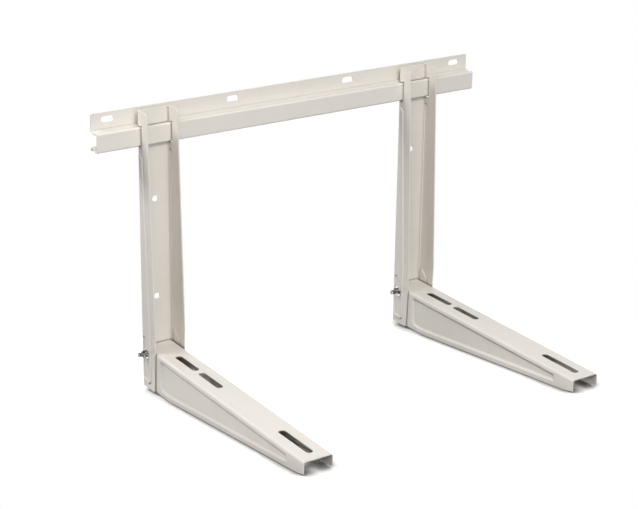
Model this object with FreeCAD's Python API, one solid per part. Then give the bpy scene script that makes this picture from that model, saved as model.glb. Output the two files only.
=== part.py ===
import FreeCAD, Part
import math
import os

# Wall bracket for the outdoor unit of an air conditioner, in millimetres.
# A folded wall bar carries two folded uprights, and a tapered arm is bolted between the flanges of each.
# X runs along the bar, the wall is the plane Y = 0, the arms point to -Y and +Z is up.
# The origin is on the wall, at the middle of the line of wall slots.

# Wall bar
bar_length = 800.0
bar_sheet = 2.0
bar_bend = 1.5
bar_top = 12.5
bar_fold_drop = 15.5
bar_depth = 24.0
bar_plate_height = 36.0
bar_rim_rise = 2.5
groove_start = 10.0
groove_width = 5.0
return_rise = 7.0
lip_height = 6.0
bar_corner = 3.0
wall_slot_count = 4
wall_slot_end_gap = 31.0
wall_slot_length = 24.0
wall_slot_width = 11.0

# Uprights
upright_spacing = 552.0
upright_shift = -11.0
upright_width = 61.0
upright_sheet = 2.0
upright_bend = 2.0
upright_height = 510.0
upright_top = 10.0
flange_depth_top = 33.5
flange_depth_widest = 48.5
flange_depth_bottom = 44.0
widest_height = 112.0
flange_top_corner = 7.0
flange_widest_corner = 60.0
flange_bottom_corner = 3.0
web_hole_diameter = 11.0
web_hole_upper = 346.5
web_hole_spacing = 182.0

# How an upright hangs on the bar
hang_clearance = 0.3
rim_clearance = 0.6
plate_clearance = 2.0
tongue_clearance = 0.8
notch_floor_gap = 1.3
notch_relief_radius = 2.2
tongue_side_gap = 1.5

# Raised field on each upright flange, with a pocket round the bolt
field_depth = 1.8
field_run = 1.6
field_rear_gap = 0.3
field_top_drop = 68.0
field_top_slant = 14.0
field_border_top = 20.0
field_border_widest = 15.0
field_border_bottom = 12.5
field_floor_gap = 10.0
field_top_corner = 4.0
field_front_corner = 6.0
field_bottom_corner = 8.0
pocket_width = 18.4
pocket_above_bolt = 35.0
pocket_slant = 19.5
pocket_below_bolt = 49.0
pocket_top_corner = 3.0
pocket_bottom_corner = 7.5

# Arms
arm_side_clearance = 0.5
arm_rear_clearance = 1.2
arm_sheet = 2.0
arm_bend = 3.0
arm_reach = 530.0
arm_floor_rise = 1.5
arm_rear_height = 73.5
arm_front_height = 21.3
arm_foot_end = 105.0
arm_toe_length = 22.0
arm_toe_rise = 5.5
arm_foot_corner = 300.0
arm_toe_corner = 15.0
arm_rear_corner = 4.0
arm_slot_width = 13.0
inner_slot_length = 70.0
inner_slot_start = 84.5
inner_slot_pitch = 81.0
outer_slot_length = 90.0
outer_slot_front_gap = 20.0
panel_depth = 3.0
panel_run = 4.5
panel_start = 72.5
panel_front_gap = 48.0
panel_top_gap = 8.0
panel_floor_gap = 8.0
panel_top_corner = 5.0
panel_rear_corner = 13.0
panel_front_corner = 5.0
panel_foot_corner = 100.0

# Bolts, nuts and washers, size M8
bolt_radius = 4.0
bolt_length = 80.0
bolt_tip_chamfer = 1.0
bolt_hole_clearance = 0.5
bolt_above_bottom = 66.5
bolt_from_web = 18.0
hex_across_flats = 13.0
bolt_head_height = 5.3
nut_height = 6.8
nut_bore_clearance = 0.1
hex_chamfer_radius = 6.3
washer_radius = 9.0
washer_thickness = 1.6
washer_bore_radius = 4.2

# Places worked out from the sizes above
bar_fold_z = -bar_fold_drop
plate_top_z = bar_fold_z - 1.0
groove_z = plate_top_z - bar_rim_rise
plate_bottom_z = plate_top_z - bar_plate_height
groove_middle = groove_start + groove_width / 2
web_rear_y = -(groove_middle - upright_sheet / 2)
web_front_y = web_rear_y - upright_sheet
upright_bottom_z = upright_top - upright_height
widest_z = upright_bottom_z + widest_height
tongue_half = upright_width / 2 - upright_sheet - upright_bend - tongue_side_gap
bolt_y = web_rear_y - bolt_from_web
bolt_z = upright_bottom_z + bolt_above_bottom
arm_width = upright_width - 2 * upright_sheet - 2 * arm_side_clearance
arm_floor_z = upright_bottom_z + arm_floor_rise
arm_top_z = arm_floor_z + arm_rear_height
arm_rear_y = web_front_y - arm_rear_clearance
arm_front_y = -arm_reach
field_rear_y = web_rear_y - upright_bend - upright_sheet - field_rear_gap
upright_places = [upright_shift - upright_spacing / 2, upright_shift + upright_spacing / 2]
beyond = 10.0


def vector(x, y, z):
    return FreeCAD.Vector(x, y, z)


def unit(from_point, to_point):
    u = to_point[0] - from_point[0]
    v = to_point[1] - from_point[1]
    length = math.hypot(u, v)
    return u / length, v / length


def shifted_corners(points, distances, closed):
    """Moves each side of a flat outline to its left by its own distance and returns the new corners."""
    count = len(points)
    last = count if closed else count - 1
    sides = []
    for i in range(last):
        start = points[i]
        along = unit(start, points[(i + 1) % count])
        moved = (start[0] - along[1] * distances[i], start[1] + along[0] * distances[i])
        sides.append((moved, along))
    corners = []
    for i in range(count):
        if not closed and i == 0:
            corners.append(sides[0][0])
            continue
        if not closed and i == count - 1:
            end = points[-1]
            along = sides[-1][1]
            corners.append((end[0] - along[1] * distances[-1], end[1] + along[0] * distances[-1]))
            continue
        corners.append(crossing(sides[i - 1], sides[i % last]))
    return corners


def crossing(first, second):
    """The point where two lines, each a point and a direction, cross."""
    (ax, ay), (au, av) = first
    (bx, by), (bu, bv) = second
    cross = au * bv - av * bu
    t = ((bx - ax) * bv - (by - ay) * bu) / cross
    return ax + au * t, ay + av * t


def corner_cut(before, corner, after, radius):
    """The two tangent points and the middle point of the arc that rounds a corner."""
    back = unit(corner, before)
    ahead = unit(corner, after)
    half = math.acos(max(-1.0, min(1.0, back[0] * ahead[0] + back[1] * ahead[1]))) / 2
    reach = radius / math.tan(half)
    start = (corner[0] + back[0] * reach, corner[1] + back[1] * reach)
    end = (corner[0] + ahead[0] * reach, corner[1] + ahead[1] * reach)
    middle_u = back[0] + ahead[0]
    middle_v = back[1] + ahead[1]
    size = math.hypot(middle_u, middle_v)
    depth = radius / math.sin(half) - radius
    middle = (corner[0] + middle_u / size * depth, corner[1] + middle_v / size * depth)
    return start, middle, end


def path_edges(points, radii, closed, place):
    """Straight edges joined by tangent arcs. place turns a flat point into one in space."""
    count = len(points)
    edges = []
    pen = None if closed else points[0]
    first = None
    order = range(count) if closed else range(1, count - 1)
    for i in order:
        if radii[i] > 0:
            start, middle, end = corner_cut(points[i - 1], points[i], points[(i + 1) % count], radii[i])
        else:
            start, middle, end = points[i], None, points[i]
        if pen is not None:
            edges.append(Part.LineSegment(place(pen), place(start)).toShape())
        else:
            first = start
        if middle is not None:
            edges.append(Part.Arc(place(start), place(middle), place(end)).toShape())
        pen = end
    finish = first if closed else points[-1]
    edges.append(Part.LineSegment(place(pen), place(finish)).toShape())
    return edges


def closed_wire(points, radii, place):
    return Part.Wire(path_edges(points, radii, True, place))


def turn_sign(before, corner, after):
    ahead = unit(before, corner)
    onward = unit(corner, after)
    return math.copysign(1.0, ahead[0] * onward[1] - ahead[1] * onward[0])


def folded_face(points, sheet, inner_bend, place):
    """The section of a folded sheet whose middle line runs through the points."""
    half = sheet / 2
    count = len(points)
    sides = []
    for way in (1.0, -1.0):
        corners = shifted_corners(points, [way * half] * (count - 1), False)
        radii = [0.0] * count
        for i in range(1, count - 1):
            turn = turn_sign(points[i - 1], points[i], points[i + 1])
            radii[i] = inner_bend if turn == way else inner_bend + sheet
        sides.append((corners, radii))
    (left, left_radii), (right, right_radii) = sides
    edges = path_edges(left, left_radii, False, place)
    edges.append(Part.LineSegment(place(left[-1]), place(right[-1])).toShape())
    edges.extend(path_edges(right, right_radii, False, place))
    edges.append(Part.LineSegment(place(right[0]), place(left[0])).toShape())
    return Part.Face(Part.Wire(Part.__sortEdges__(edges)))


def side_plate(points, radii, x_from, x_to):
    """A plate of constant outline in Y and Z between two places along X."""
    wire = closed_wire(points, radii, lambda p: vector(x_from, p[0], p[1]))
    return Part.Face(wire).extrude(vector(x_to - x_from, 0, 0))


def pressed_form(outline, x_base, x_floor, run):
    """A shallow block with sloping sides: the outline at x_base, drawn in by run at x_floor."""
    points, radii = outline
    inner = shifted_corners(points, [run] * len(points), True)
    base = closed_wire(points, radii, lambda p: vector(x_base, p[0], p[1]))
    floor = closed_wire(inner, [radius - run for radius in radii], lambda p: vector(x_floor, p[0], p[1]))
    block = Part.makeLoft([base, floor], True, True)
    return block if block.Volume > 0 else block.reversed()


def slot_form(length, width, centre, along, through, depth):
    """A bar with rounded ends, as long as the slot. along and through are unit vectors."""
    across = through.cross(along)
    straight = (length - width) / 2
    base = centre - through * (depth / 2)
    corners = []
    for a, b in ((-1, -1), (1, -1), (1, 1), (-1, 1)):
        corners.append(base + along * (straight * a) + across * (width / 2 * b))
    far = base + along * (length / 2)
    near = base - along * (length / 2)
    edges = [
        Part.LineSegment(corners[0], corners[1]).toShape(),
        Part.Arc(corners[1], far, corners[2]).toShape(),
        Part.LineSegment(corners[2], corners[3]).toShape(),
        Part.Arc(corners[3], near, corners[0]).toShape(),
    ]
    return Part.Face(Part.Wire(edges)).extrude(through * depth)


def box(x_range, y_range, z_range):
    size = (x_range[1] - x_range[0], y_range[1] - y_range[0], z_range[1] - z_range[0])
    return Part.makeBox(size[0], size[1], size[2], vector(x_range[0], y_range[0], z_range[0]))


def cylinder_x(radius, x_from, x_to, y, z):
    return Part.makeCylinder(radius, x_to - x_from, vector(x_from, y, z), vector(1, 0, 0))


def bolt_hole(x):
    """The clearance hole for the bolt through everything at one upright."""
    radius = bolt_radius + bolt_hole_clearance
    return cylinder_x(radius, x - upright_width, x + upright_width, bolt_y, bolt_z)


# Wall bar

def bar_section_points():
    """Middle line of the bar's sheet in Y and Z, from the top of the wall flange to the lip."""
    half = bar_sheet / 2
    lip_top = plate_bottom_z + return_rise
    return [
        (-half, bar_top),
        (-half, bar_fold_z - half),
        (-groove_start, groove_z - half),
        (-groove_start - groove_width, groove_z - half),
        (-bar_depth + half, plate_top_z - half),
        (-bar_depth + half, plate_bottom_z + half),
        (-half, lip_top + half),
        (-half, lip_top - lip_height),
    ]


def return_underside_z(y):
    """Height of the lower face of the bar's sloping return at a distance y from the wall."""
    slope = return_rise / (bar_depth - bar_sheet)
    return plate_bottom_z + (y + bar_depth - bar_sheet / 2) * slope


def bar_end_corner(side):
    """The piece that rounds one upper corner of the wall flange."""
    end = side * bar_length / 2
    inner = end - side * bar_corner
    low, high = min(inner, end + side * beyond), max(inner, end + side * beyond)
    block = box((low, high), (-bar_sheet * 2, bar_sheet), (bar_top - bar_corner, bar_top + beyond))
    centre = vector(inner, bar_sheet, bar_top - bar_corner)
    return block.cut(Part.makeCylinder(bar_corner, bar_sheet * 3, centre, vector(0, -1, 0)))


def wall_slot_places():
    first = wall_slot_end_gap - bar_length / 2
    pitch = -2 * first / (wall_slot_count - 1)
    return [first + i * pitch for i in range(wall_slot_count)]


def make_wall_bar():
    def at_end(p):
        return vector(-bar_length / 2, p[0], p[1])

    section = folded_face(bar_section_points(), bar_sheet, bar_bend, at_end)
    bar = section.extrude(vector(bar_length, 0, 0))
    along = vector(1, 0, 0)
    through = vector(0, 1, 0)
    for x in wall_slot_places():
        centre = vector(x, -bar_sheet / 2, 0)
        bar = bar.cut(slot_form(wall_slot_length, wall_slot_width, centre, along, through, bar_sheet * 3))
    for side in (-1, 1):
        bar = bar.cut(bar_end_corner(side))
    return bar


# Uprights

def flange_front_y(z):
    """Where the front edge of an upright's flange is at a height z."""
    if z >= widest_z:
        share = (upright_top - z) / (upright_top - widest_z)
        depth = flange_depth_top + (flange_depth_widest - flange_depth_top) * share
    else:
        share = (widest_z - z) / (widest_z - upright_bottom_z)
        depth = flange_depth_widest + (flange_depth_bottom - flange_depth_widest) * share
    return web_rear_y - depth


def flange_outline():
    points = [
        (web_rear_y, upright_top),
        (flange_front_y(upright_top), upright_top),
        (flange_front_y(widest_z), widest_z),
        (flange_front_y(upright_bottom_z), upright_bottom_z),
        (web_rear_y, upright_bottom_z),
    ]
    radii = [0.0, flange_top_corner, flange_widest_corner, flange_bottom_corner, 0.0]
    return points, radii


def upright_channel(x):
    """The plain folded channel, cut to the outline of its flanges."""
    half = (upright_width - upright_sheet) / 2
    web_y = web_rear_y - upright_sheet / 2
    front_y = web_rear_y - flange_depth_widest - beyond
    middle_line = [(x - half, front_y), (x - half, web_y), (x + half, web_y), (x + half, front_y)]

    def at_bottom(p):
        return vector(p[0], p[1], upright_bottom_z)

    section = folded_face(middle_line, upright_sheet, upright_bend, at_bottom)
    channel = section.extrude(vector(0, 0, upright_height))
    points, radii = flange_outline()
    return channel.common(side_plate(points, radii, x - upright_width, x + upright_width))


def field_outline():
    """Outline in Y and Z of the raised field on a flange, where its slopes start."""
    top = upright_top - field_top_drop
    floor = upright_bottom_z + field_floor_gap
    front_top = top - field_top_slant
    points = [
        (field_rear_y, top),
        (flange_front_y(front_top) + field_border_top, front_top),
        (flange_front_y(widest_z) + field_border_widest, widest_z),
        (flange_front_y(floor) + field_border_bottom, floor),
        (field_rear_y, floor),
    ]
    front_radii = [field_top_corner, field_front_corner, flange_widest_corner]
    return points, front_radii + [field_bottom_corner, field_bottom_corner]


def pocket_outline():
    """Outline in Y and Z of the pocket round the bolt, at its mouth."""
    rear = bolt_y + pocket_width / 2
    front = bolt_y - pocket_width / 2
    top = bolt_z + pocket_above_bolt
    floor = bolt_z - pocket_below_bolt
    points = [(rear, top), (front, top - pocket_slant), (front, floor), (rear, floor)]
    radii = [pocket_top_corner, pocket_top_corner, pocket_bottom_corner, pocket_bottom_corner]
    mouth = shifted_corners(points, [-field_run] * len(points), True)
    return mouth, [radius + field_run for radius in radii]


def raised_field(x_face, side):
    """The raised field with its pocket, standing out from a flange face at x_face towards side."""
    crest = x_face + side * field_depth
    field = pressed_form(field_outline(), x_face, crest, field_run)
    return field.cut(pressed_form(pocket_outline(), crest, x_face, field_run))


def notch_outline():
    """Outline in Y and Z of the notch in a flange, through which the bar passes."""
    front = -(bar_depth + plate_clearance)
    top = plate_top_z + rim_clearance
    floor = plate_bottom_z - notch_floor_gap
    return [(beyond, top), (front, top), (front, floor), (beyond, floor)]


def notch_form(x):
    """The notch in both flanges, and the window between them that leaves the tongue of the web below it."""
    points = notch_outline()
    radii = [0.0] * len(points)
    notch_top = points[1][1]
    left = side_plate(points, radii, x - upright_width, x - tongue_half)
    right = side_plate(points, radii, x + tongue_half, x + upright_width)
    tongue_top = return_underside_z(web_rear_y) - tongue_clearance
    across = (x - tongue_half, x + tongue_half)
    window = box(across, (web_front_y - upright_bend, beyond), (tongue_top, notch_top))
    relief = cylinder_x(notch_relief_radius, x - upright_width, x + upright_width, points[1][0], notch_top)
    return left.fuse([right, window, relief])


def hanging_edge(x):
    """The strip of web that reaches down into the groove of the bar."""
    z_range = (groove_z + hang_clearance, plate_top_z + rim_clearance + upright_sheet)
    return box((x - tongue_half, x + tongue_half), (web_front_y, web_rear_y), z_range)


def web_hole(x, z):
    start = vector(x, web_rear_y + upright_sheet, z)
    return Part.makeCylinder(web_hole_diameter / 2, upright_sheet * 3, start, vector(0, -1, 0))


def make_upright(x):
    upright = upright_channel(x)
    for side in (-1, 1):
        face = x + side * upright_width / 2
        upright = upright.fuse(raised_field(face, side))
        upright = upright.cut(raised_field(face - side * upright_sheet, side))
    upright = upright.cut(notch_form(x))
    upright = upright.fuse(hanging_edge(x))
    for i in range(2):
        upright = upright.cut(web_hole(x, upright_bottom_z + web_hole_upper - i * web_hole_spacing))
    return upright.cut(bolt_hole(x)).removeSplitter()


# Arms

def arm_lower_z(y):
    """Height of the straight sloping part of an arm's lower edge."""
    toe_z = arm_top_z - arm_front_height - arm_toe_rise
    toe_y = arm_front_y + arm_toe_length
    share = (-arm_foot_end - y) / (-arm_foot_end - toe_y)
    return arm_floor_z + (toe_z - arm_floor_z) * share


def arm_outline():
    toe_y = arm_front_y + arm_toe_length
    points = [
        (arm_rear_y, arm_top_z),
        (arm_front_y, arm_top_z),
        (arm_front_y, arm_top_z - arm_front_height),
        (toe_y, arm_lower_z(toe_y)),
        (-arm_foot_end, arm_floor_z),
        (arm_rear_y, arm_floor_z),
    ]
    radii = [0.0, 0.0, 0.0, arm_toe_corner, arm_foot_corner, arm_rear_corner]
    return points, radii


def arm_channel(x):
    half = (arm_width - arm_sheet) / 2
    top = arm_top_z - arm_sheet / 2
    low = arm_floor_z - beyond
    middle_line = [(x - half, low), (x - half, top), (x + half, top), (x + half, low)]
    section = folded_face(middle_line, arm_sheet, arm_bend, lambda p: vector(p[0], arm_rear_y, p[1]))
    channel = section.extrude(vector(0, arm_front_y - arm_rear_y, 0))
    points, radii = arm_outline()
    return channel.common(side_plate(points, radii, x - arm_width, x + arm_width))


def panel_outline():
    """Outline in Y and Z of the pressed panel on the side of an arm, where its slopes start."""
    top = arm_top_z - panel_top_gap
    rear_floor = arm_floor_z + panel_floor_gap
    front = arm_front_y + panel_front_gap
    points = [
        (-panel_start, top),
        (front, top),
        (front, arm_lower_z(front) + panel_floor_gap),
        (-arm_foot_end, rear_floor),
        (-panel_start, rear_floor),
    ]
    top_radii = [panel_top_corner, panel_front_corner, panel_front_corner]
    return points, top_radii + [panel_foot_corner, panel_rear_corner]


def make_arm(x):
    arm = arm_channel(x)
    for side in (-1, 1):
        face = x + side * arm_width / 2
        inner_face = face - side * arm_sheet
        sink = side * panel_depth
        arm = arm.fuse(pressed_form(panel_outline(), inner_face, inner_face - sink, panel_run))
        arm = arm.cut(pressed_form(panel_outline(), face, face - sink, panel_run))
    slots = [(arm_reach - outer_slot_front_gap - outer_slot_length, outer_slot_length)]
    for i in range(2):
        slots.append((inner_slot_start + i * inner_slot_pitch, inner_slot_length))
    along = vector(0, 1, 0)
    through = vector(0, 0, 1)
    for start, length in slots:
        centre = vector(x, -start - length / 2, arm_top_z - arm_sheet / 2)
        arm = arm.cut(slot_form(length, arm_slot_width, centre, along, through, arm_sheet * 3))
    return arm.cut(bolt_hole(x)).removeSplitter()


# Bolts, nuts and washers

def hexagon(x_from, height, bore_radius):
    """A hexagonal block along X, with its outer corners turned off at both faces."""
    circle = hex_across_flats / math.sqrt(3)
    corners = []
    for i in range(7):
        angle = math.radians(60 * i)
        corners.append(vector(x_from, bolt_y + circle * math.sin(angle), bolt_z + circle * math.cos(angle)))
    block = Part.Face(Part.makePolygon(corners)).extrude(vector(height, 0, 0))
    slope = circle - hex_chamfer_radius
    axis = vector(1, 0, 0)
    start = vector(x_from, bolt_y, bolt_z)
    near = start + axis * (slope / 2)
    far = start + axis * (height - slope / 2)
    turned = Part.makeCylinder(circle, height - slope, near, axis)
    turned = turned.fuse(Part.makeCone(hex_chamfer_radius, circle, slope / 2, start, axis))
    turned = turned.fuse(Part.makeCone(circle, hex_chamfer_radius, slope / 2, far, axis))
    block = block.common(turned)
    if bore_radius > 0:
        x_to = x_from + height + beyond
        block = block.cut(cylinder_x(bore_radius, x_from - beyond, x_to, bolt_y, bolt_z))
    return block


def make_washer(x_from):
    disc = cylinder_x(washer_radius, x_from, x_from + washer_thickness, bolt_y, bolt_z)
    return disc.cut(cylinder_x(washer_bore_radius, x_from - beyond, x_from + beyond, bolt_y, bolt_z))


def make_nut(x):
    start = x - upright_width / 2 - washer_thickness - nut_height
    return hexagon(start, nut_height, bolt_radius + nut_bore_clearance)


def make_bolt(x):
    """Head on the +X side of the upright, tip past the nut on the -X side."""
    head_start = x + upright_width / 2 + washer_thickness
    tip = head_start - bolt_length
    axis = vector(1, 0, 0)
    tip_centre = vector(tip, bolt_y, bolt_z)
    point = Part.makeCone(bolt_radius - bolt_tip_chamfer, bolt_radius, bolt_tip_chamfer, tip_centre, axis)
    shank_end = head_start + bolt_head_height / 2
    shank = cylinder_x(bolt_radius, tip + bolt_tip_chamfer, shank_end, bolt_y, bolt_z)
    return hexagon(head_start, bolt_head_height, 0.0).fuse([shank, point]).removeSplitter()


def write(shape, name):
    for solid in shape.Solids:
        if not solid.isValid():
            raise ValueError(name + " is not a valid solid")
    print(name, "solids", len(shape.Solids), "volume", round(shape.Volume, 1))
    shape.exportStep("parts/" + name + ".step")


def main():
    os.makedirs("parts", exist_ok=True)
    write(make_wall_bar(), "wall_bar")
    for side, x in zip(("left", "right"), upright_places):
        write(make_upright(x), side + "_upright")
        write(make_arm(x), side + "_arm")
        write(make_bolt(x), side + "_arm_bolt")
        write(make_nut(x), side + "_arm_nut")
        write(make_washer(x - upright_width / 2 - washer_thickness), side + "_nut_washer")
        write(make_washer(x + upright_width / 2), side + "_head_washer")


main()
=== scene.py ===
"""Wall bracket for the outdoor unit of an air conditioner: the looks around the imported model. Metres."""

import math

import bmesh
import bpy
from mathutils import Matrix, Vector


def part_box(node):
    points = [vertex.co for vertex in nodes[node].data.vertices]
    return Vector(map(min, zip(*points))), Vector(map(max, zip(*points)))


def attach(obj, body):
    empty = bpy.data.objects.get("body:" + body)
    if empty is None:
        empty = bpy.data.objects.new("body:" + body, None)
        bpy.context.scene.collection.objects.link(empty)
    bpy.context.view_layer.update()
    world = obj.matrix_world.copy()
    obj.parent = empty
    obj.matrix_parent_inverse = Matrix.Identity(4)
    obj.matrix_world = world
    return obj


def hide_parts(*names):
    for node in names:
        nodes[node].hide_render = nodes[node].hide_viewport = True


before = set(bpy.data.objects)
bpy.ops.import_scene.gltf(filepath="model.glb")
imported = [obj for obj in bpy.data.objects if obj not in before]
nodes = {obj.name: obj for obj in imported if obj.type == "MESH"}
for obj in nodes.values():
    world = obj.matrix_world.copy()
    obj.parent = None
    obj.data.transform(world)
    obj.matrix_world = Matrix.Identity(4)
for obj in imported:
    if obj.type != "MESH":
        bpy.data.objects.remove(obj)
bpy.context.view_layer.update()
scene = bpy.context.scene
MM = 0.001


# Camera, at the photograph's viewing angle

IMAGE_WIDTH = 638.0
IMAGE_HEIGHT = 509.0
FOCAL_PIXELS = 1691.781
AZIMUTH = math.radians(-34.028)
ELEVATION = math.radians(19.207)
ROLL = math.radians(0.821)
DISTANCE = 2987.477 * MM
ASIDE = 29.9 * MM
UPWARD = -13.884 * MM
AXIS_X = 318.923
AXIS_Y = 200.0
TARGET = Vector((0.0, -150.0, -182.6)) * MM
SENSOR_WIDTH = 36.0
CLIP_NEAR = 0.05
CLIP_FAR = 50.0


def add_camera():
    """The camera stands to the left, in front and above, and looks at the middle of the bracket."""
    back = Vector((
        math.sin(AZIMUTH) * math.cos(ELEVATION),
        -math.cos(AZIMUTH) * math.cos(ELEVATION),
        math.sin(ELEVATION),
    ))
    level = Vector((math.cos(AZIMUTH), math.sin(AZIMUTH), 0.0))
    rise = back.cross(level)
    right = level * math.cos(ROLL) + rise * math.sin(ROLL)
    up = rise * math.cos(ROLL) - level * math.sin(ROLL)
    place = TARGET - right * ASIDE - up * UPWARD + back * DISTANCE
    turn = Matrix((right, up, back)).transposed().to_4x4()
    data = bpy.data.cameras.new("camera")
    camera = bpy.data.objects.new("camera", data)
    scene.collection.objects.link(camera)
    camera.matrix_world = Matrix.Translation(place) @ turn
    data.sensor_fit = "HORIZONTAL"
    data.sensor_width = SENSOR_WIDTH
    data.lens = FOCAL_PIXELS / IMAGE_WIDTH * SENSOR_WIDTH
    data.shift_x = (IMAGE_WIDTH / 2 - AXIS_X) / IMAGE_WIDTH
    data.shift_y = (AXIS_Y - IMAGE_HEIGHT / 2) / IMAGE_WIDTH
    data.clip_start = CLIP_NEAR
    data.clip_end = CLIP_FAR
    scene.camera = camera


# Small helpers for shader nodes

BEVEL_SAMPLES = 6
AO_SAMPLES = 8
FINE_AO_SAMPLES = 32
EDGE_RANGE = (0.995, 0.80)
FULL_RANGE = (0.0, 1.0)
STRAIGHT_UP = (0.0, 0.0, 1.0)


def rgb(r, g, b):
    """A colour in linear light."""
    return (r, g, b, 1.0)


def grey(level):
    return rgb(level, level, level)


WHITE = grey(1.0)


class Nodes:
    """Adds shader nodes and links to a material or a world with short calls."""

    def __init__(self, owner):
        owner.use_nodes = True
        self.owner = owner
        self.tree = owner.node_tree
        self.tree.nodes.clear()

    def add(self, kind, **inputs):
        """A new node. Each input is named with _ for a blank, and is a value or another node's output."""
        node = self.tree.nodes.new(kind)
        for name, value in inputs.items():
            self.set(node, name.replace("_", " "), value)
        return node

    def set(self, node, place, value):
        """Sets or links an input, which is given by its name or its number."""
        socket = node.inputs[place]
        if isinstance(value, bpy.types.NodeSocket):
            self.tree.links.new(value, socket)
        else:
            socket.default_value = value

    def fill(self, node, *values):
        """Sets or links the node's first inputs, in order."""
        for place, value in enumerate(values):
            self.set(node, place, value)
        return node

    def math(self, operation, a, b):
        node = self.add("ShaderNodeMath")
        node.operation = operation
        return self.fill(node, a, b).outputs[0]

    def times(self, a, b):
        return self.math("MULTIPLY", a, b)

    def vector(self, operation, *values):
        """A vector-math node. The caller picks its output, a vector or a value."""
        node = self.add("ShaderNodeVectorMath")
        node.operation = operation
        return self.fill(node, *values)

    def where(self):
        """The place on the object, in its own axes."""
        return self.add("ShaderNodeTexCoord").outputs["Object"]

    def face_normal(self):
        return self.add("ShaderNodeNewGeometry").outputs["Normal"]

    def noise(self, where, scale, detail, roughness=0.55, distortion=0.0):
        node = self.add(
            "ShaderNodeTexNoise", Vector=where, Scale=scale, Detail=detail, Roughness=roughness,
            Distortion=distortion,
        )
        return node.outputs["Fac"]

    def span(self, value, source, target=FULL_RANGE):
        """Maps a range of values to another, and stops at its ends."""
        node = self.add(
            "ShaderNodeMapRange", Value=value, From_Min=source[0], From_Max=source[1],
            To_Min=target[0], To_Max=target[1],
        )
        return node.outputs["Result"]

    def mix(self, factor, a, b):
        """Mixes two colours."""
        node = self.add("ShaderNodeMix")
        node.data_type = "RGBA"
        for place, value in ((0, factor), (6, a), (7, b)):
            self.set(node, place, value)
        return node.outputs[2]

    def tint(self, colour, mask, strength, other):
        """Moves a colour towards another where a mask is 1."""
        return self.mix(self.times(mask, strength), colour, other)

    def rounded(self, radius):
        """The surface normal, rounded off near edges."""
        node = self.add("ShaderNodeBevel", Radius=radius)
        node.samples = BEVEL_SAMPLES
        return node.outputs["Normal"]

    def edge(self, rounded_normal):
        """A mask that is 1 on an edge and 0 on flat faces."""
        turned = self.vector("DOT_PRODUCT", rounded_normal, self.face_normal())
        return self.span(turned.outputs["Value"], EDGE_RANGE)

    def crevice(self, reach, source, samples=AO_SAMPLES):
        """A mask that is 1 deep in a crevice or a narrow gap, and 0 on open faces."""
        node = self.add("ShaderNodeAmbientOcclusion", Distance=reach)
        node.samples = samples
        return self.span(node.outputs["AO"], source)

    def shade(self, reach, source):
        """A mask that is 1 right under a ledge or edge that stands out close above."""
        upward = self.vector("ADD", self.face_normal(), STRAIGHT_UP).outputs[0]
        leaning = self.vector("NORMALIZE", upward).outputs[0]
        node = self.add("ShaderNodeAmbientOcclusion", Distance=reach, Normal=leaning)
        node.samples = AO_SAMPLES
        return self.span(node.outputs["AO"], source)

    def bump(self, height, distance, strength, normal):
        node = self.add(
            "ShaderNodeBump", Height=height, Distance=distance, Strength=strength, Normal=normal,
        )
        return node.outputs["Normal"]

    def blend(self, factor, a, b):
        """Mixes two shaders."""
        return self.fill(self.add("ShaderNodeMixShader"), factor, a.outputs[0], b.outputs[0])

    def seen(self):
        """A mask that is 1 for what the viewer sees, also in a mirror or through glass."""
        path = self.add("ShaderNodeLightPath")
        seen = self.math("MAXIMUM", path.outputs["Is Camera Ray"], path.outputs["Is Glossy Ray"])
        return self.math("MAXIMUM", seen, path.outputs["Is Transmission Ray"])

    def finish(self, shader, kind="ShaderNodeOutputMaterial"):
        self.add(kind, Surface=shader.outputs[0])
        return self.owner


# Paint on the folded sheets

PAINT_DEEP = rgb(0.760, 0.722, 0.668)
PAINT_PALE = rgb(0.785, 0.750, 0.700)
CLOUD_COLOUR = rgb(0.735, 0.700, 0.648)
GRAIN_COLOUR = rgb(0.655, 0.625, 0.585)
# Pale edges: partly worn thin paint, partly a painted highlight
WORN_AND_HIGHLIT_COLOUR = rgb(0.97, 0.955, 0.93)
CHIP_COLOUR = rgb(0.42, 0.39, 0.36)
# Painted shade: the colours towards which creases facing down, places under ledges, folds and deep corners
# are darkened
CREASE_SHADE_COLOUR = rgb(0.15, 0.135, 0.12)
SHADE_COLOUR = rgb(0.30, 0.275, 0.25)
FOLD_SHADE_COLOUR = rgb(0.40, 0.37, 0.335)
CORNER_SHADE_COLOUR = rgb(0.20, 0.18, 0.165)

# Each noise has its scale for one metre, its detail and, where it isn't the usual one, its roughness.
BROAD = (7.0, 2.0)
WAVE = (11.0, 1.0)
CLOUD = (38.0, 4.0, 0.6)
SCUFF = (240.0, 5.0, 0.7)
PEEL = (520.0, 2.0, 0.5)
GRAIN = (1500.0, 2.0)
NOISE_MIDDLE = 0.5

# Edge radii, and how far the crevice masks look
SOFT_EDGE = 0.5 * MM
WORN_AND_HIGHLIT_EDGE = 1.3 * MM
CREASE_REACH = 6.0 * MM
SHADE_REACH = 5.0 * MM
FOLD_REACH = 4.0 * MM

# Where each mask goes from 0 to 1: in its noise, in the normal's Z, or in the open share around a place
BROAD_RANGE = (0.35, 0.65)
CLOUD_RANGE = (0.40, 0.75)
GRAIN_RANGE = (0.55, 0.72)
WORN_AND_HIGHLIT_RANGE = (0.36, 0.62)
CHIP_RANGE = (0.70, 0.76)
UNDER_RANGE = (-0.15, -0.45)
SLANTED_RANGE = (-0.96, -0.84)
CREASE_RANGE = (0.998, 0.967)
SHADE_RANGE = (0.80, 0.64)
FOLD_RANGE = (0.90, 0.60)
CORNER_SHADE_RANGE = (0.82, 0.25)
CORNER_SHADE_PATCH_RANGE = (0.30, 0.60)
SHEEN_RANGE = (0.30, 0.75)

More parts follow.
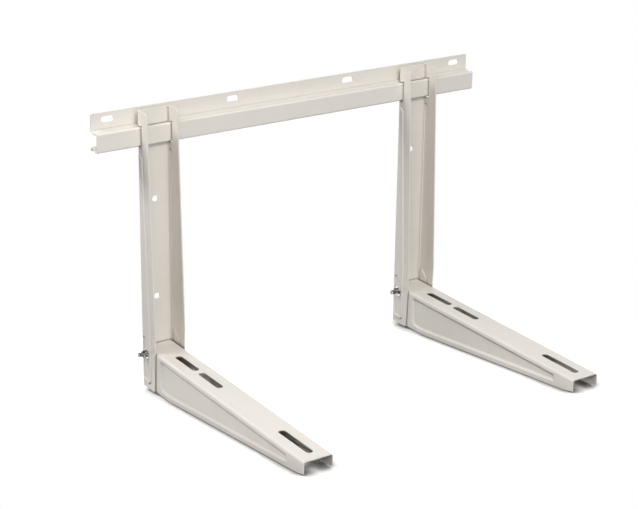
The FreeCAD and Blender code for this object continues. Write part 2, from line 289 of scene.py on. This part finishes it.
# What the uneven masks run between
CLOUD_SHARE = (0.0, 0.35)
GRAIN_SHARE = (0.0, 0.22)
WORN_AND_HIGHLIT_SHARE = (0.35, 1.0)
SLANTED_SHARE = (0.30, 1.0)
CORNER_SHADE_SHARE = (0.75, 1.0)

# How strongly each mask shows
WORN_AND_HIGHLIT_STRENGTH = 0.85
CHIP_STRENGTH = 0.45
CREASE_SHADE_STRENGTH = 0.95
SHADE_STRENGTH = 0.55
FOLD_SHADE_STRENGTH = 0.34
CORNER_SHADE_STRENGTH = 0.85

# Roughness, and each bump's height and strength
PAINT_ROUGHNESS = (0.36, 0.50)
GRAIN_ROUGHNESS = 0.12
WAVE_BUMP = (0.6 * MM, 0.35)
PEEL_BUMP = (0.05 * MM, 0.55)
GRAIN_BUMP = (0.012 * MM, 0.5)


def paint_colour(n, where, cloud, grain):
    """Soft mottling and fine grain."""
    broad = n.noise(where, *BROAD)
    colour = n.mix(n.span(broad, BROAD_RANGE), PAINT_DEEP, PAINT_PALE)
    colour = n.mix(n.span(cloud, CLOUD_RANGE, CLOUD_SHARE), colour, CLOUD_COLOUR)
    return n.mix(n.span(grain, GRAIN_RANGE, GRAIN_SHARE), colour, GRAIN_COLOUR)


def paint_wear_and_highlight(n, colour, scuff):
    """Pale edges, partly worn thin paint and partly a painted highlight, and small chips on the edges."""
    edge = n.edge(n.rounded(WORN_AND_HIGHLIT_EDGE))
    # Pale edges: worn thin paint and a painted highlight
    worn_and_highlit = n.times(edge, n.span(scuff, WORN_AND_HIGHLIT_RANGE, WORN_AND_HIGHLIT_SHARE))
    chip = n.times(edge, n.span(scuff, CHIP_RANGE))
    colour = n.tint(colour, worn_and_highlit, WORN_AND_HIGHLIT_STRENGTH, WORN_AND_HIGHLIT_COLOUR)
    return n.tint(colour, chip, CHIP_STRENGTH, CHIP_COLOUR)


def add_painted_shade(n, colour, scuff):
    """Painted shade: darker in creases that face down, just under ledges, in folds and, a little unevenly,
    in deep corners.
    """
    facing = n.add("ShaderNodeSeparateXYZ", Vector=n.face_normal()).outputs["Z"]
    downward = n.times(n.span(facing, UNDER_RANGE), n.span(facing, SLANTED_RANGE, SLANTED_SHARE))
    # Painted shade in creases that face down, under ledges and in folds
    crease_shade = n.times(n.crevice(CREASE_REACH, CREASE_RANGE, FINE_AO_SAMPLES), downward)
    shade = n.shade(SHADE_REACH, SHADE_RANGE)
    fold_shade = n.crevice(FOLD_REACH, FOLD_RANGE)
    # Painted shade in deep corners, made a little uneven
    corner_shade = n.times(n.crevice(FOLD_REACH, CORNER_SHADE_RANGE), n.span(scuff, CORNER_SHADE_PATCH_RANGE, CORNER_SHADE_SHARE))
    colour = n.tint(colour, crease_shade, CREASE_SHADE_STRENGTH, CREASE_SHADE_COLOUR)
    colour = n.tint(colour, shade, SHADE_STRENGTH, SHADE_COLOUR)
    colour = n.tint(colour, fold_shade, FOLD_SHADE_STRENGTH, FOLD_SHADE_COLOUR)
    return n.tint(colour, corner_shade, CORNER_SHADE_STRENGTH, CORNER_SHADE_COLOUR)


def paint_material():
    """Warm light grey powder paint with orange peel, under a thin gloss."""
    n = Nodes(bpy.data.materials.new("white_paint"))
    where = n.where()
    cloud = n.noise(where, *CLOUD)
    grain = n.noise(where, *GRAIN)
    scuff = n.noise(where, *SCUFF)
    colour = paint_colour(n, where, cloud, grain)
    colour = paint_wear_and_highlight(n, colour, scuff)
    colour = add_painted_shade(n, colour, scuff)

    rough = n.span(cloud, SHEEN_RANGE, PAINT_ROUGHNESS)
    rough = n.math("ADD", rough, n.times(n.math("SUBTRACT", grain, NOISE_MIDDLE), GRAIN_ROUGHNESS))
    normal = n.bump(n.noise(where, *WAVE), *WAVE_BUMP, n.rounded(SOFT_EDGE))
    normal = n.bump(n.noise(where, *PEEL), *PEEL_BUMP, normal)
    normal = n.bump(grain, *GRAIN_BUMP, normal)
    shader = n.add("ShaderNodeBsdfPrincipled", Base_Color=colour, Roughness=rough, Normal=normal)
    shader.inputs["Specular IOR Level"].default_value = 0.42
    shader.inputs["IOR"].default_value = 1.5
    shader.inputs["Coat Weight"].default_value = 0.40
    shader.inputs["Coat Roughness"].default_value = 0.14
    return n.finish(shader)


# Zinc plate on the bolts, nuts and washers

# Each noise has its scale for one metre, its detail, and for the spots its roughness and distortion.
SPOTS = (330.0, 3.0, 0.55, 0.6)
FINE_SPOTS = (3600.0, 2.0)
TURNING_LINES = (5200.0, 2.0)
TURNING_STRETCH = (1.0, 0.06, 0.06)
SPOTS_RANGE = (0.46, 0.60)
SPECK_RANGE = (0.60, 0.80)
SPECK_SHARE = (0.0, 0.35)
SPECK_COLOUR = rgb(0.30, 0.30, 0.31)
ZINC_EDGE = 0.25 * MM
ZINC_EDGE_STRENGTH = 0.55
# Painted shade in crevices, such as between the threads
CREVICE_SHADE_REACH = 2.0 * MM
CREVICE_SHADE_RANGE = (0.92, 0.40)
CREVICE_SHADE_COLOUR = grey(0.02)
ZINC_SHEEN_RANGE = (0.30, 0.72)
ZINC_ROUGHNESS = (0.16, 0.32)
LINES_BUMP = (0.010 * MM, 0.5)
FINE_BUMP = (0.008 * MM, 0.4)

# The colours of each plating's darker spots, brighter spots and worn edges, and the strength of the
# painted shade in its crevices. On the nuts and bolts the near-black darker spots are a painted dark
# reflection.
BRIGHT_ZINC = (grey(0.78), rgb(0.90, 0.90, 0.89), grey(0.95), 0.35)
ZINC_WITH_DARK_REFLECTIONS = (rgb(0.035, 0.035, 0.04), rgb(0.66, 0.645, 0.63), rgb(0.86, 0.85, 0.84), 0.90)


def zinc_material(name, darker_spots, bright, worn, crevice_shade):
    """Zinc plate: a metal with fine turning lines, darker and brighter spots, painted shade in its
    crevices, and worn edges.
    """
    n = Nodes(bpy.data.materials.new(name))
    where = n.where()
    rounded = n.rounded(ZINC_EDGE)
    spots = n.noise(where, *SPOTS)
    fine = n.noise(where, *FINE_SPOTS)
    stretched = n.add("ShaderNodeMapping", Vector=where, Scale=TURNING_STRETCH).outputs["Vector"]
    lines = n.noise(stretched, *TURNING_LINES)

    # Darker and brighter spots; on the nuts and bolts the near-black darker spots are a painted dark
    # reflection
    colour = n.mix(n.span(spots, SPOTS_RANGE), darker_spots, bright)
    colour = n.mix(n.span(fine, SPECK_RANGE, SPECK_SHARE), colour, SPECK_COLOUR)
    colour = n.tint(colour, n.edge(rounded), ZINC_EDGE_STRENGTH, worn)
    # Painted shade in crevices
    colour = n.tint(colour, n.crevice(CREVICE_SHADE_REACH, CREVICE_SHADE_RANGE), crevice_shade, CREVICE_SHADE_COLOUR)
    rough = n.span(spots, ZINC_SHEEN_RANGE, ZINC_ROUGHNESS)
    normal = n.bump(lines, *LINES_BUMP, rounded)
    normal = n.bump(fine, *FINE_BUMP, normal)
    shader = n.add("ShaderNodeBsdfPrincipled", Base_Color=colour, Roughness=rough, Normal=normal)
    shader.inputs["Metallic"].default_value = 1.0
    return n.finish(shader)


# Bolts along X, with a real thread and a chamfered head

BOLT_RADIUS = 4.0 * MM
TIP_RADIUS = 3.0 * MM
DISH_SHARE = 0.86
DISH_RIM = 0.15 * MM
DISH_DEPTH = 0.22 * MM

THREAD_PITCH = 1.25 * MM
THREAD_DEPTH = 0.72 * MM
THREAD_LENGTH = 22.0 * MM
THREAD_STEPS = 36
THREAD_LEAD_IN = 2
THREAD_ROOT = BOLT_RADIUS - THREAD_DEPTH
# The thread's section: a share of the pitch, and the radius there
THREAD_SECTION = (
    (0.0, THREAD_ROOT), (0.16, THREAD_ROOT), (0.50, BOLT_RADIUS), (0.62, BOLT_RADIUS), (1.0, THREAD_ROOT),
)

NECK_LENGTH = 0.4 * MM
NECK_FLARE = 0.35 * MM
HEAD_HEIGHT = 5.3 * MM
HEAD_FLATS = 13.0 * MM
HEAD_CORNER_ANGLE = math.pi / 3
HEAD_CHAMFER = math.radians(28)
SEAT_SHARE = 0.90
SEAT_FACE_SHARE = 0.94
SEAT_HEIGHT = 0.25 * MM
CROWN_SHARE = 0.955
CROWN_DROP = 0.15 * MM
CROWN_INSET = 0.5 * MM
HOLLOW_SHARE = 0.62
HOLLOW_DEPTH = 0.25 * MM

SEGMENTS = 72
WELD_DISTANCE = 0.004 * MM
SHARP_ANGLE = math.radians(25)


def point(bm, x, radius, angle, centre):
    """A point at an angle round the bolt's line."""
    return bm.verts.new((x, centre[0] + radius * math.cos(angle), centre[1] + radius * math.sin(angle)))


def ring(bm, x, radius, centre):
    """Points round the bolt's line. The radius may be a function of the angle, and x of the radius."""
    points = []
    for i in range(SEGMENTS):
        angle = 2 * math.pi * i / SEGMENTS
        r = radius(angle) if callable(radius) else radius
        points.append(point(bm, x(r) if callable(x) else x, r, angle, centre))
    return points


def bridge(bm, *rings):
    """Quads between each closed ring and the next."""
    for a, b in zip(rings, rings[1:]):
        for i in range(SEGMENTS):
            j = (i + 1) % SEGMENTS
            bm.faces.new((a[i], a[j], b[j], b[i]))


def cap(bm, points, x, centre):
    """A flat end made of triangles round a middle point."""
    middle = bm.verts.new((x, centre[0], centre[1]))
    for i in range(SEGMENTS):
        bm.faces.new((points[i], points[(i + 1) % SEGMENTS], middle))


def thread_radius(along, radius):
    """The section's radius, held by the tip's chamfer and by the run-out at the thread's end."""
    chamfer = TIP_RADIUS + max(along, 0.0)
    rise = min(max((along - THREAD_LENGTH) / THREAD_PITCH + 1, 0.0), 1.0)
    run_out = THREAD_ROOT + (BOLT_RADIUS - THREAD_ROOT) * rise
    return min(max(radius, run_out), chamfer)


def add_thread(bm, tip, centre):
    """The helical thread from the chamfered tip to its run-out. Its rows follow the helix."""
    turns = int(THREAD_LENGTH / THREAD_PITCH) + THREAD_LEAD_IN + 1
    rows = []
    for step in range(turns * THREAD_STEPS + 1):
        angle = 2 * math.pi * step / THREAD_STEPS
        row = []
        for share, radius in THREAD_SECTION:
            along = (step / THREAD_STEPS + share - THREAD_LEAD_IN) * THREAD_PITCH
            x = tip + min(max(along, 0.0), THREAD_LENGTH)
            row.append(point(bm, x, thread_radius(along, radius), angle, centre))
        rows.append(row)
    for a, b in zip(rows, rows[1:]):
        for k in range(len(a) - 1):
            bm.faces.new((a[k], a[k + 1], b[k + 1], b[k]))
    bmesh.ops.remove_doubles(bm, verts=bm.verts, dist=WELD_DISTANCE)


def add_tip(bm, tip, centre):
    """The end face of the thread, with a shallow dish."""
    edge = ring(bm, tip, TIP_RADIUS, centre)
    dish = ring(bm, tip + DISH_RIM, TIP_RADIUS * DISH_SHARE, centre)
    bridge(bm, edge, dish)
    cap(bm, dish, tip + DISH_DEPTH, centre)


def add_shank(bm, start, head, centre):
    """The plain shank, which flares under the head. Its last ring is returned."""
    first = ring(bm, start, BOLT_RADIUS, centre)
    neck = ring(bm, head - NECK_LENGTH, BOLT_RADIUS, centre)
    root = ring(bm, head, BOLT_RADIUS + NECK_FLARE, centre)
    bridge(bm, first, neck, root)
    return root


def hexagon(angle):
    """The radius of the head's outline at an angle."""
    side = HEAD_CORNER_ANGLE
    return HEAD_FLATS / 2 / math.cos((angle + side / 2) % side - side / 2)


def add_head(bm, root, head, far, centre):
    """The hexagon head: a round seat below, a chamfer round the top and a shallow hollow in it."""
    half = HEAD_FLATS / 2
    crown = half * CROWN_SHARE

    def chamfered(radius):
        return far - CROWN_DROP - (radius - crown) * math.tan(HEAD_CHAMFER)

    under = ring(bm, head + SEAT_HEIGHT, hexagon, centre)
    face = ring(bm, head + SEAT_HEIGHT, half * SEAT_FACE_SHARE, centre)
    seat = ring(bm, head, half * SEAT_SHARE, centre)
    rim = ring(bm, chamfered, hexagon, centre)
    top_edge = ring(bm, far - CROWN_DROP, crown, centre)
    top = ring(bm, far, crown - CROWN_INSET, centre)
    hollow = ring(bm, far - HOLLOW_DEPTH, crown * HOLLOW_SHARE, centre)
    bridge(bm, root, seat, face, under, rim, top_edge, top, hollow)
    cap(bm, hollow, far - HOLLOW_DEPTH, centre)


def add_bolt(node, material):
    """A new bolt in the place of the node: threaded end, shank and hexagon head."""
    low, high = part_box(node)
    centre = ((low.y + high.y) / 2, (low.z + high.z) / 2)
    tip, far = low.x, high.x
    head = far - HEAD_HEIGHT
    bm = bmesh.new()
    add_thread(bm, tip, centre)
    add_tip(bm, tip, centre)
    root = add_shank(bm, tip + THREAD_LENGTH, head, centre)
    add_head(bm, root, head, far, centre)
    bmesh.ops.recalc_face_normals(bm, faces=bm.faces)

    mesh = bpy.data.meshes.new(node + "_threaded")
    bm.to_mesh(mesh)
    bm.free()
    for polygon in mesh.polygons:
        polygon.use_smooth = True
    mesh.set_sharp_from_angle(angle=SHARP_ANGLE)
    piece = bpy.data.objects.new(node + "_threaded", mesh)
    scene.collection.objects.link(piece)
    piece.data.materials.append(material)
    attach(piece, "root")
    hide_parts(node)


# Floor. It slopes, because the bracket stands on the arms' sloping lower edges.

FLOOR_RISE = 0.1159
FLOOR_AT_WALL = -512.0 * MM
FLOOR_SIDE = 3.0
FLOOR_FRONT = -0.9
FLOOR_REAR = 3.0
FLOOR_MIDDLE = Vector((-0.02, -0.27, -0.50))
FLOOR_FADE = (0.43, 0.62)
TONE = (3.0, 2.0)
TONE_RANGE = (0.3, 0.7)
FLOOR_DEEP = grey(0.94)
FLOOR_PALE = grey(0.96)
FLOOR_LIFT = grey(0.8)
FLOOR_TO_LAMPS = grey(0.18)
# Painted contact shadow on the floor close under the object
CONTACT_REACH = 30.0 * MM
CONTACT_RANGE = (0.97, 0.48)
CONTACT_SAMPLES = 12
CONTACT_SHADOW_COLOUR = rgb(0.12, 0.12, 0.13)
CONTACT_SHADOW_LIFT = grey(0.02)


def floor_material():
    """White to the viewer where no shadow falls, with a painted contact shadow close under the object. To
    the lamps it is a plain grey floor.
    """
    n = Nodes(bpy.data.materials.new("floor"))
    where = n.where()
    tone = n.noise(where, *TONE)
    colour = n.mix(n.span(tone, TONE_RANGE), FLOOR_DEEP, FLOOR_PALE)
    # Painted contact shadow where the object comes close to the floor
    contact_shadow = n.crevice(CONTACT_REACH, CONTACT_RANGE, CONTACT_SAMPLES)
    first = n.add("ShaderNodeBsdfDiffuse", Color=n.mix(contact_shadow, colour, CONTACT_SHADOW_COLOUR))
    second = n.add("ShaderNodeBsdfDiffuse", Color=n.mix(contact_shadow, FLOOR_LIFT, CONTACT_SHADOW_LIFT))
    near = n.fill(n.add("ShaderNodeAddShader"), first.outputs[0], second.outputs[0])
    white = n.add("ShaderNodeEmission", Color=WHITE, Strength=1.0)
    away = n.vector("DISTANCE", where, FLOOR_MIDDLE).outputs["Value"]
    shown = n.blend(n.span(away, FLOOR_FADE), near, white)
    pale = n.add("ShaderNodeBsdfDiffuse", Color=FLOOR_TO_LAMPS)
    return n.finish(n.blend(n.seen(), pale, shown))


def add_floor():
    """A plain sheet that the arms' lower edges and the uprights' lower ends just clear."""
    corners = (
        (-FLOOR_SIDE, FLOOR_FRONT), (FLOOR_SIDE, FLOOR_FRONT),
        (FLOOR_SIDE, FLOOR_REAR), (-FLOOR_SIDE, FLOOR_REAR),
    )
    points = [(x, y, FLOOR_AT_WALL - y * FLOOR_RISE) for x, y in corners]
    mesh = bpy.data.meshes.new("floor")
    mesh.from_pydata(points, [], [(0, 1, 2, 3)])
    mesh.materials.append(floor_material())
    floor = bpy.data.objects.new("floor", mesh)
    scene.collection.objects.link(floor)


# World and lamps

WORLD_STRENGTH = 0.20
LAMP_AIM = Vector((0.0, -0.15, -0.2))
NEUTRAL = (1.0, 1.0, 1.0)
HARDLY_WARM = (1.0, 0.995, 0.985)
WARM = (1.0, 0.985, 0.965)
WARMER = (1.0, 0.98, 0.955)

# Each lamp's name, place, side, watts and colour
LAMPS = (
    ("high_front", (-0.3, -2.2, 2.0), 1.0, 40.0, HARDLY_WARM),
    ("low_front", (-0.5, -3.2, 0.2), 1.2, 13.0, NEUTRAL),
    ("left_front", (-1.5, -2.0, 1.2), 0.9, 15.0, WARM),
    ("left_low", (-2.2, -1.0, 0.4), 0.9, 3.0, WARMER),
    ("left_rear", (-1.4, 0.3, 1.0), 0.55, 14.5, WARM),
    ("right", (2.4, -1.2, 0.9), 1.2, 9.0, NEUTRAL),
    ("rear", (-0.5, 2.6, 0.9), 1.5, 20.0, NEUTRAL),
)


def add_world():
    """Soft even light, and plain white behind the object."""
    world = bpy.data.worlds.new("studio")
    scene.world = world
    n = Nodes(world)
    light = n.add("ShaderNodeBackground", Color=WHITE, Strength=WORLD_STRENGTH)
    white = n.add("ShaderNodeBackground", Color=WHITE, Strength=1.0)
    n.finish(n.blend(n.seen(), light, white), "ShaderNodeOutputWorld")


def add_lamp(name, place, side, watts, colour):
    """A square soft lamp that faces the bracket."""
    data = bpy.data.lights.new(name, "AREA")
    data.shape = "RECTANGLE"
    data.size = side
    data.size_y = side
    data.energy = watts
    data.color = colour
    lamp = bpy.data.objects.new(name, data)
    scene.collection.objects.link(lamp)
    direction = LAMP_AIM - Vector(place)
    lamp.rotation_euler = direction.to_track_quat("-Z", "Y").to_euler()
    lamp.location = place


# The scene

PAINTED = ("wall_bar", "left_upright", "right_upright", "left_arm", "right_arm")

paint = paint_material()
bright_zinc = zinc_material("bright_zinc", *BRIGHT_ZINC)
# Nuts and bolts: zinc whose near-black spots are a painted dark reflection
zinc_with_dark_reflections = zinc_material("zinc_with_dark_reflections", *ZINC_WITH_DARK_REFLECTIONS)
for name, node in nodes.items():
    for slot in node.material_slots:
        if name in PAINTED:
            slot.material = paint
        elif name.endswith("washer"):
            slot.material = bright_zinc
        else:
            slot.material = zinc_with_dark_reflections

add_camera()
add_world()
add_floor()
for lamp in LAMPS:
    add_lamp(*lamp)
for bolt_node in ("left_arm_bolt", "right_arm_bolt"):
    add_bolt(bolt_node, zinc_with_dark_reflections)

scene.view_settings.view_transform = "Standard"

bpy.context.view_layer.update()
